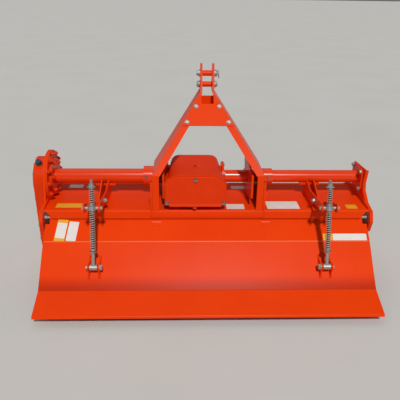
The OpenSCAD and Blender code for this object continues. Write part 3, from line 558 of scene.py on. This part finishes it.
def sweptTurns(startMm, pitchMm, turns):
    deselectAll()
    bpy.ops.mesh.primitive_circle_add(vertices=coilLook["roundWire"], radius=mm(coilLook["wireMm"]),
                                      location=(mm(coilLook["outerMm"] - coilLook["wireMm"]), 0, mm(startMm)),
                                      rotation=(math.radians(90), 0, 0))
    wire = bpy.context.active_object
    settle(wire)
    applyModifier(wire, "SCREW", {"angle": math.tau * turns, "screw_offset": mm(pitchMm * turns),
                                  "iterations": 1, "steps": coilLook["stepsPerTurn"] * turns,
                                  "render_steps": coilLook["stepsPerTurn"] * turns})
    return wire


def coilSpring(name, x, fromMm, toMm):
    closed = coilLook["wireMm"] * 2
    openLength = toMm - fromMm - 3 * closed
    turns = round(openLength / coilLook["pitchMm"])
    start = coilLook["wireMm"]
    parts = [sweptTurns(start, closed, 1), sweptTurns(start + closed, openLength / turns, turns),
             sweptTurns(start + closed + openLength, closed, 1)]
    spring = joined(parts, name)
    closeUp(spring, coilLook["mergeMm"])
    leaning = rodUp.to_track_quat("Z", "Y").to_matrix().to_4x4()
    spring.data.transform(Matrix.Translation(onRod(x, fromMm)) @ leaning)
    return spring


turnMergeMm = 0.02   # points of a turned shape closer than this become one


# turned shapes: a line of points swept round the Z axis
def profileLine(points):
    deselectAll()
    bpy.ops.mesh.primitive_plane_add(size=mm(1))
    line = bpy.context.active_object
    bpy.ops.object.mode_set(mode="EDIT")
    bpy.ops.mesh.select_all(action="SELECT")
    bpy.ops.mesh.merge(type="CENTER")
    bpy.ops.transform.translate(value=(mm(points[0][0]), 0, mm(points[0][1])))
    for (r0, z0), (r1, z1) in zip(points, points[1:]):
        bpy.ops.mesh.extrude_vertices_move(TRANSFORM_OT_translate={"value": (mm(r1 - r0), 0, mm(z1 - z0))})
    bpy.ops.object.mode_set(mode="OBJECT")
    return line


def turned(points, steps):
    shape = profileLine(points)
    applyModifier(shape, "SCREW", {"angle": math.tau, "screw_offset": 0.0, "iterations": 1, "steps": steps,
                                   "render_steps": steps, "use_merge_vertices": True})
    closeUp(shape, turnMergeMm)
    return shape


# domed washer under the top nut, and the rolled thread above it, drawn coarser than real so that it shows
domeLook = {"points": [(8.5, 9.5), (12, 9.0), (17, 7.0), (21, 4.0), (23, 1.2), (23, 0.0), (8.5, 0.0),
                       (8.5, 9.5)], "steps": 28}
domeModel = turned(domeLook["points"], domeLook["steps"])
threadLook = {"coreMm": 7.05, "crestMm": 8.2, "crestFromMm": 1.2, "crestToMm": 1.8, "pitchMm": 3,
              "fromMm": 464, "turns": 7, "stepsPerTurn": 16, "smoothDeg": 20}
flank = [(threadLook["coreMm"], 0), (threadLook["crestMm"], threadLook["crestFromMm"]),
         (threadLook["crestMm"], threadLook["crestToMm"]), (threadLook["coreMm"], threadLook["pitchMm"])]
threadModel = profileLine(flank)
applyModifier(threadModel, "SCREW", {"angle": math.tau * threadLook["turns"], "iterations": 1,
                                     "screw_offset": mm(threadLook["pitchMm"] * threadLook["turns"]),
                                     "steps": threadLook["stepsPerTurn"] * threadLook["turns"],
                                     "render_steps": threadLook["stepsPerTurn"] * threadLook["turns"]})
closeUp(threadModel, turnMergeMm)

# nuts on the rod's end, the trunnion's pins and the clevis pin, whose large head is on its inner side
rodNuts = {"seatMm": 451, "size": 1.28, "collarOut": 45, "collarSize": 1.05, "eyeOut": 33, "eyeHead": 1.5,
           "eyeEnd": 0.85}


def pinEnds(middle, outMm, sizes):
    return [(middle + Vector((mm(outMm * s), 0, 0)), (s, 0, 0), size) for s, size in sizes]


for side, (x, rodBody, collarBody) in sides.items():
    lowStart, lowEnd = rodLook["stopTop"], rodLook["collar"] - rodLook["collarHalf"]
    lower = coilSpring("spring_lower_" + side, x, lowStart, lowEnd)
    dress(lower, springWire, rodBody, coilLook["smoothDeg"], ["spring_" + side])
    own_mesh(lower)
    upper = coilSpring("spring_upper_" + side, x, rodLook["collar"] + rodLook["collarHalf"], rodLook["nutAt"])
    dress(upper, springWire, collarBody, coilLook["smoothDeg"], ["spring_top_" + side])
    dome = setAt(domeModel, "dome_washer_" + side, onRod(x, rodLook["nutAt"]), rodUp)
    dress(dome, zincSteel, rodBody)
    rodNut = [(onRod(x, rodNuts["seatMm"]), rodUp, rodNuts["size"])]
    fastenSet("rod_nut_" + side, boltModel, rodNut, body=rodBody)
    thread = setAt(threadModel, "rod_thread_" + side, onRod(x, threadLook["fromMm"]), rodUp)
    dress(thread, zincSteel, rodBody, threadLook["smoothDeg"])
    collarNuts = pinEnds(onRod(x, rodLook["collar"]), rodNuts["collarOut"],
                         [(s, rodNuts["collarSize"]) for s in (-1, 1)])
    fastenSet("collar_nuts_" + side, boltModel, collarNuts, body=collarBody)
    inward = 1 if side == "left" else -1
    eyeNuts = pinEnds(onRod(x, 0), rodNuts["eyeOut"],
                      [(inward, rodNuts["eyeHead"]), (-inward, rodNuts["eyeEnd"])])
    fastenSet("eye_nuts_" + side, boltModel, eyeNuts, body="tail_board")
print("spring rods done")

# round top of the left plate, as wide as the flange that is bolted to it
discLook = {"points": [(0, 0), (157, 0), (158, 1), (158, 9), (157, 10), (0, 10)], "steps": 72, "xMm": -956}
discModel = turned(discLook["points"], discLook["steps"])
disc = setAt(discModel, "plate_disc", spot(discLook["xMm"], tubeAxis["yMm"], tubeAxis["zMm"]), right)
dress(disc, powderCoat, "frame")

# lug under the gearbox cover with its small painted screw
lugLook = {"points": [(0, 14), (9.5, 14), (11.5, 12), (12, 0), (0, 0)], "steps": 28, "deepMm": 14,
           "xMm": -76, "yMm": -204, "zMm": 489, "screw": 0.55}
lugModel = turned(lugLook["points"], lugLook["steps"])
lug = setAt(lugModel, "cover_lug", spot(lugLook["xMm"], lugLook["yMm"], lugLook["zMm"]), rear)
dress(lug, paintedIron, "frame")
lugFace = spot(lugLook["xMm"], lugLook["yMm"] - lugLook["deepMm"], lugLook["zMm"])
fastenSet("lug_screw", boltModel, [(lugFace, rear, lugLook["screw"])], paintedIron)

# bearing cap and screws outside the right plate, screws round the gear case's lid
capLook = {"points": [(0, 15), (14, 14.5), (30, 12), (38, 7), (40, 2), (40, 0), (0, 0)], "steps": 40,
           "xMm": 956, "screwR": 54, "screw": 0.9}
capModel = turned(capLook["points"], capLook["steps"])
cap = setAt(capModel, "bearing_cap", spot(capLook["xMm"], rotorAxis["yMm"], rotorAxis["zMm"]), right)
dress(cap, paintedIron, "frame")
bearingScrews = [(p, right, capLook["screw"])
                 for p in ringAt(capLook["xMm"], rotorAxis, capLook["screwR"], range(0, 360, 60))]
fastenSet("bearing_screws", boltModel, bearingScrews)
lidLook = {"xMm": -1021, "top": (47, 575, 123), "low": (40, 215, 101), "size": 0.5, "perEnd": 7,
           "stepDeg": 30, "between": 3}
lidScrews = []
for i in range(lidLook["perEnd"]):
    a = math.radians(lidLook["stepDeg"] * i)
    y, z, r = lidLook["top"]
    lidScrews.append((spot(lidLook["xMm"], y + r * math.cos(a), z + r * math.sin(a)), left, lidLook["size"]))
    y, z, r = lidLook["low"]
    lidScrews.append((spot(lidLook["xMm"], y + r * math.cos(a), z - r * math.sin(a)), left, lidLook["size"]))
for i in range(lidLook["between"]):
    share = (i + 1) / (lidLook["between"] + 1)
    y, z, r = (a + (b - a) * share for a, b in zip(lidLook["top"], lidLook["low"]))
    lidScrews += [(spot(lidLook["xMm"], y + s * r, z), left, lidLook["size"]) for s in (-1, 1)]
fastenSet("lid_screws", boltModel, lidScrews)
print("caps and lids done")

# two screws hold each tine to its flange, with few faces because there are many
tineScrewLook = {"flanges": 8, "perFlange": 6, "flangeIn": 176, "halfX": 946, "setRoundDeg": 22,
                 "radii": (66, 84), "flatsMm": 19, "headMm": 7, "edge": 1.2, "sharpDeg": 70, "outMm": 13}
deselectAll()
bpy.ops.mesh.primitive_cylinder_add(vertices=6, radius=mm(tineScrewLook["flatsMm"] / math.sqrt(3)),
                                    depth=mm(tineScrewLook["headMm"]),
                                    location=(0, 0, mm(tineScrewLook["headMm"] / 2)))
tineScrewModel = bpy.context.active_object
settle(tineScrewModel)
roundEdges(tineScrewModel, tineScrewLook["edge"], 1, tineScrewLook["sharpDeg"])
tineScrews = []
lastFlange = tineScrewLook["flanges"] - 1
firstX = tineScrewLook["flangeIn"] - tineScrewLook["halfX"]
for i in range(tineScrewLook["flanges"]):
    for k in range(tineScrewLook["perFlange"]):
        s = 1 if k % 2 == 0 else -1
        if (i == 0 and s < 0) or (i == lastFlange and s > 0):   # no tines on the outer faces
            continue
        turn = math.radians(360 / tineScrewLook["perFlange"] * k + tineScrewLook["setRoundDeg"] * i)
        x = firstX - i * 2 * firstX / lastFlange + s * tineScrewLook["outMm"]
        for r in tineScrewLook["radii"]:
            place = spot(x, rotorAxis["yMm"] - r * math.sin(turn), rotorAxis["zMm"] + r * math.cos(turn))
            tineScrews.append((place, (s, 0, 0), 1.0))
fastenSet("tine_screws", tineScrewModel, tineScrews, body="rotor")
print("tine screws:", len(tineScrews))

# flat bars outside the posts and the doubled strip on the hood's lip
barLook = {"xFrom": 319, "xTo": 331, "yFrom": -208, "yTo": -198, "zFrom": 424, "zTo": 640, "edge": 1.5}
lipLook = {"xFrom": -334, "xTo": 334, "yFrom": -207, "yTo": -204, "zFrom": 421, "zTo": 461, "edge": 1.0}


def flatBar(name, look, s):
    low = spot(s * look["xFrom"], look["yFrom"], look["zFrom"])
    high = spot(s * look["xTo"], look["yTo"], look["zTo"])
    deselectAll()
    bpy.ops.mesh.primitive_cube_add(size=1, location=(low + high) / 2)
    bar = bpy.context.active_object
    bar.name = name
    bar.scale = [abs(a - b) for a, b in zip(low, high)]
    settle(bar)
    roundEdges(bar, look["edge"], 2)
    return bar


dress(flatBar("lip_strip", lipLook, 1), powderCoat, "frame")
for side, s in (("left", -1), ("right", 1)):
    dress(flatBar("post_bar_" + side, barLook, s), powderCoat, "frame")

# weld beads, overlapping drops in a row: at the posts, their flanges, the bracket arms and the board's ears
beadLook = {"widthMm": 6.5, "stepShare": 0.5, "smoothDeg": 60, "deckZ": 468, "postX": 319.5, "postY": 196,
            "flangeFrom": 282, "flangeTo": 317, "flangeY": -201,
            "armFrom": {-148: (-601, -591, 614, 624), -184: (-638, -628, 651, 661)}, "armTo": 76,
            "earFaces": (-25, -33, 25, 33), "earUp": 76, "earDown": 56, "eyeAbove": 41.5}
deckRuns = [(s * beadLook["postX"], -beadLook["postY"], s * beadLook["postX"], beadLook["postY"])
            for s in (-1, 1)]
deckRuns += [(s * beadLook["flangeFrom"], beadLook["flangeY"], s * beadLook["flangeTo"], beadLook["flangeY"])
             for s in (-1, 1)]
deckRuns += [(x, y, x, beadLook["armTo"]) for y, faces in beadLook["armFrom"].items() for x in faces]
eyeFoot = Vector((0.0, rodLook["eyeY"], rodLook["eyeZ"])) - panelOut * beadLook["eyeAbove"]
earTop, earLow = eyeFoot - panelDir * beadLook["earUp"], eyeFoot + panelDir * beadLook["earDown"]
earXs = [x + face for x in (rodLook["leftX"], rodLook["rightX"]) for face in beadLook["earFaces"]]
beadRuns = {"frame": [((x0, y0, beadLook["deckZ"]), (x1, y1, beadLook["deckZ"]))
                      for x0, y0, x1, y1 in deckRuns],
            "tail_board": [((x, earTop.y, earTop.z), (x, earLow.y, earLow.z)) for x in earXs]}


def weldBead(start, end):
    run = spot(*end) - spot(*start)
    step = mm(beadLook["widthMm"] * beadLook["stepShare"])
    deselectAll()
    bpy.ops.mesh.primitive_uv_sphere_add(segments=8, ring_count=6, radius=mm(beadLook["widthMm"] / 2),
                                         rotation=(0, math.radians(90), 0))
    bead = bpy.context.active_object
    settle(bead)
    applyModifier(bead, "ARRAY", {"count": int(run.length / step), "use_relative_offset": False,
                                  "use_constant_offset": True, "constant_offset_displace": (step, 0, 0)})
    bead.data.transform(Matrix.Translation(spot(*start)) @ run.to_track_quat("X", "Z").to_matrix().to_4x4())
    return bead


for body, runs in beadRuns.items():
    beads = joined([weldBead(start, end) for start, end in runs], "weld_beads_" + body)
    dress(beads, powderCoat, body, beadLook["smoothDeg"])
print("welds done")

# blank vinyl labels with round corners: centre, direction up the label, width, height, turn, colour, body
labelLook = {"thickMm": 0.5, "cornerMm": 4, "cornerSteps": 4, "liftMm": 0.05, "stackedMm": 0.4,
             "stacked": ("board_label_panel",)}
deckAcross, deckAlong = Vector((1, 0, 0)), Vector((0, 1, 0))


def onUpperPanel(x, fromHingeMm):
    hinge = Vector((x, boardLook["hingeY"], boardLook["hingeZ"]))
    return tuple(hinge + upperDir * fromHingeMm + upperOut * boardLook["halfThickMm"])


labels = [
    ("deck_label_left", (-812, -134, 467), deckAlong, 148, 60, 0, "yellow", "frame"),
    ("deck_label_box", (164, -149, 467), deckAlong, 106, 70, 0, "white", "frame"),
    ("deck_label_post", (448, -128, 467), deckAlong, 192, 108, 0, "white", "frame"),
    ("deck_label_under_left", (-828, 171, 467), deckAlong, 88, 54, 0, "white", "frame"),
    ("deck_label_under_box", (209, 151, 467), deckAlong, 86, 52, 0, "white", "frame"),
    ("deck_label_right", (857, -151, 467), deckAlong, 64, 56, 0, "yellow", "frame"),
    ("board_label_outer", onUpperPanel(-844, 84), -upperDir, 60, 138, 6, "yellow", "tail_board"),
    ("board_label_inner", onUpperPanel(-779, 90), -upperDir, 56, 122, 6, "white", "tail_board"),
    ("board_strip_end", onUpperPanel(697, 128), -upperDir, 56, 42, 0, "yellow", "tail_board"),
    ("board_strip", onUpperPanel(826, 128), -upperDir, 198, 42, 0, "white", "tail_board"),
    ("board_label_panel", onUpperPanel(-844, 84), -upperDir, 56, 96, 6, "white", "tail_board")]


def vinylLabel(name, centre, along, widthMm, lengthMm, turnDeg):
    deselectAll()
    bpy.ops.mesh.primitive_plane_add(size=1)
    film = bpy.context.active_object
    film.name = name
    film.scale = (mm(widthMm), mm(lengthMm), 1)
    settle(film)
    bpy.ops.object.mode_set(mode="EDIT")
    bpy.ops.mesh.select_all(action="SELECT")
    bpy.ops.mesh.bevel(offset=mm(labelLook["cornerMm"]), segments=labelLook["cornerSteps"], affect="VERTICES")
    bpy.ops.object.mode_set(mode="OBJECT")
    applyModifier(film, "SOLIDIFY", {"thickness": mm(labelLook["thickMm"]), "offset": 1.0})
    facing = Matrix((deckAcross, along, deckAcross.cross(along))).transposed().to_4x4()
    facing = facing @ Matrix.Rotation(math.radians(-turnDeg), 4, "Z")
    liftMm = labelLook["stackedMm"] if name in labelLook["stacked"] else labelLook["liftMm"]
    film.data.transform(Matrix.Translation(spot(*centre)) @ facing @ Matrix.Translation((0, 0, mm(liftMm))))
    return film


for name, centre, along, width, length, turnDeg, tone, body in labels:
    film = vinylLabel(name, centre, along, width, length, turnDeg)
    dress(film, vinylFilm[tone], body)
print("labels done")

# lower lips of the two slots under the posts, in lighter paint as a painted highlight on their edges
slotLook = {"xMm": (-299, 341), "fromHingeMm": 31, "wideMm": 54, "tallMm": 6, "thickMm": 3, "edge": 1.2}
upperFacing = Matrix((deckAcross, -upperDir, upperOut)).transposed().to_4x4()
slotLips = []
for x in slotLook["xMm"]:
    deselectAll()
    bpy.ops.mesh.primitive_cube_add(size=1)
    slotLip = bpy.context.active_object
    slotLip.scale = [mm(slotLook[k]) for k in ("wideMm", "tallMm", "thickMm")]
    settle(slotLip)
    roundEdges(slotLip, slotLook["edge"], 2)
    slotLip.data.transform(Matrix.Translation(spot(*onUpperPanel(x, slotLook["fromHingeMm"]))) @ upperFacing)
    slotLips.append(slotLip)
dress(joined(slotLips, "slot_lips"), paintedHighlightCoat, "tail_board")

# pressed crease along the board's bend, a low round ridge that catches the light, in lighter paint as a
# painted highlight
creaseLook = {"halfX": 936, "radiusMm": 4.2, "outMm": 1.0, "sides": 16, "edge": 1.5, "sharpDeg": 60}
bendOut = (upperOut + panelOut).normalized()
middle = spot(0, boardLook["bendY"], boardLook["bendZ"]) + bendOut * mm(creaseLook["outMm"])
deselectAll()
bpy.ops.mesh.primitive_cylinder_add(vertices=creaseLook["sides"], radius=mm(creaseLook["radiusMm"]),
                                    depth=mm(2 * creaseLook["halfX"]), location=middle,
                                    rotation=(0, math.radians(90), 0))
crease = bpy.context.active_object
crease.name = "board_crease"
settle(crease)
roundEdges(crease, creaseLook["edge"], 2, creaseLook["sharpDeg"])
dress(crease, paintedHighlightCoat, "tail_board", creaseLook["sharpDeg"])

# ring of the linch pin on the top-link pin
ringLook = {"xMm": 68, "yMm": 205, "zMm": 1178, "radiusMm": 22, "wireMm": 2.2, "leanDeg": 84, "smoothDeg": 60}
deselectAll()
bpy.ops.mesh.primitive_torus_add(major_radius=mm(ringLook["radiusMm"]), minor_radius=mm(ringLook["wireMm"]),
                                 major_segments=40, minor_segments=10,
                                 rotation=(0, math.radians(ringLook["leanDeg"]), 0),
                                 location=spot(ringLook["xMm"], ringLook["yMm"], ringLook["zMm"]))
linchRing = bpy.context.active_object
linchRing.name = "linch_ring"
settle(linchRing)
dress(linchRing, zincSteel, "frame", ringLook["smoothDeg"])

for model in (boltModel, nutModel, domeModel, threadModel, discModel, lugModel, capModel, tineScrewModel):
    bpy.data.objects.remove(model)
print("pieces done")

# plain pale floor
floorLook = {"size": 120.0, "light": "#D6D4CF", "dark": "#CBC9C3", "cloudMm": 900, "roughness": 0.85}
deselectAll()
bpy.ops.mesh.primitive_plane_add(size=floorLook["size"])
floor = bpy.context.active_object
floor.name = "floor"
paleFloor, tree = startMaterial("paleConcrete")
coords = addNode(tree, "ShaderNodeTexCoord")
cloud = addNode(tree, "ShaderNodeTexNoise", {"Scale": 1000 / floorLook["cloudMm"], "Detail": 4.0},
                {"Vector": coords.outputs["Object"]})
shade = addNode(tree, "ShaderNodeMix", {"data_type": "RGBA", 6: linearFromHex(floorLook["dark"]),
                                        7: linearFromHex(floorLook["light"])}, {0: cloud.outputs["Fac"]})
surface = addNode(tree, "ShaderNodeBsdfPrincipled", {"Roughness": floorLook["roughness"]},
                  {"Base Color": shade.outputs[2]})
addNode(tree, "ShaderNodeOutputMaterial", {}, {"Surface": surface.outputs["BSDF"]})
floor.data.materials.append(paleFloor)

# soft studio light: a far lamp high behind the camera, a broad weak one above, and an even surround
surround = {"colour": (0.95, 0.97, 1.0, 1.0), "strength": 0.15}
lampAway = 5   # metres, only for its place in the viewport
lamps = {"key": {"from": (0.07, -0.69, 0.72), "strength": 2.4, "spreadDeg": 4},
         "fill": {"from": (-0.2, 0.45, 0.87), "strength": 0.4, "spreadDeg": 60}}
world = bpy.data.worlds.new("studio")
bpy.context.scene.world = world
world.use_nodes = True
world.node_tree.nodes["Background"].inputs["Color"].default_value = surround["colour"]
world.node_tree.nodes["Background"].inputs["Strength"].default_value = surround["strength"]
for name, look in lamps.items():
    deselectAll()
    bpy.ops.object.light_add(type="SUN", location=Vector(look["from"]) * lampAway)
    lamp = bpy.context.active_object
    lamp.name = name
    lamp.data.energy = look["strength"]
    lamp.data.angle = math.radians(look["spreadDeg"])
    lamp.rotation_euler = Vector(look["from"]).to_track_quat("Z", "Y").to_euler()

# camera where the photograph was taken from
shot = {"place": (-0.1105, -2.7328, 1.677), "yaw": 2.07, "pitch": 23.37, "roll": 0.84, "lens": 45.2,
        "far": 200.0}
yaw, pitch, roll = (math.radians(shot[k]) for k in ("yaw", "pitch", "roll"))
ahead = Vector((math.sin(yaw) * math.cos(pitch), math.cos(yaw) * math.cos(pitch), -math.sin(pitch)))
level = Vector((math.cos(yaw), -math.sin(yaw), 0.0))
above = level.cross(ahead)
toRight = math.cos(roll) * level + math.sin(roll) * above
toTop = -math.sin(roll) * level + math.cos(roll) * above
deselectAll()
bpy.ops.object.camera_add()
camera = bpy.context.active_object
turn = Matrix((toRight, toTop, -ahead)).transposed().to_4x4()
camera.matrix_world = Matrix.Translation(shot["place"]) @ turn
camera.data.lens = shot["lens"]
camera.data.clip_end = shot["far"]
bpy.context.scene.camera = camera
bpy.context.scene.view_settings.view_transform = "Standard"
print("light and camera set")
